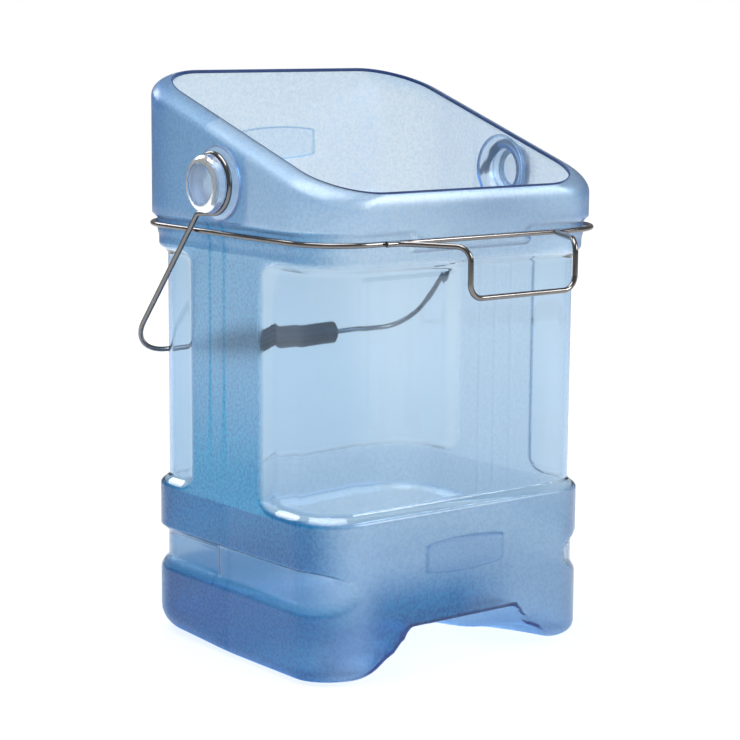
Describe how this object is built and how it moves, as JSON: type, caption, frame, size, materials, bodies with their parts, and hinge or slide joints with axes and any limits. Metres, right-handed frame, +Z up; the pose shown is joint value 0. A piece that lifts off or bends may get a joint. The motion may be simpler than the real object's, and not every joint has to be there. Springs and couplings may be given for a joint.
{
  "type": "ice tote",
  "caption": "Clear blue moulded tub with a slanted mouth, swinging wire bail with a spinning grip, and a wire neck ring with a hook for a bin's rim.",
  "frame": {"origin": "middle of the flat underside of the base, at floor level", "axes": "+Z up, -Y towards the low front of the mouth and the bin hook, X along the bail's turning axis"},
  "size_m": [0.3216, 0.317, 0.45],
  "materials": {
    "tub": "clear blue polycarbonate, finely textured on the hood, bands and pillars",
    "wire": "drawn stainless wire",
    "grip": "black moulded sleeve"
  },
  "bodies": {
    "tote": {"tote_body": "tub", "neck_ring": "wire", "bin_hook": "wire"},
    "bail": {"bail_wire": "wire"},
    "grip": {"bail_grip": "grip"}
  },
  "joints": [
    {"name": "bail_swing", "type": "hinge", "parent": "tote", "child": "bail", "pos_m": [0, 0.004, 0.369], "axis": [1, 0, 0], "range_deg": [0, 237]},
    {"name": "grip_spin", "type": "hinge", "parent": "bail", "child": "grip", "pos_m": [0, 0.12395, 0.22554], "axis": [1, 0, 0], "continuous": true}
  ]
}
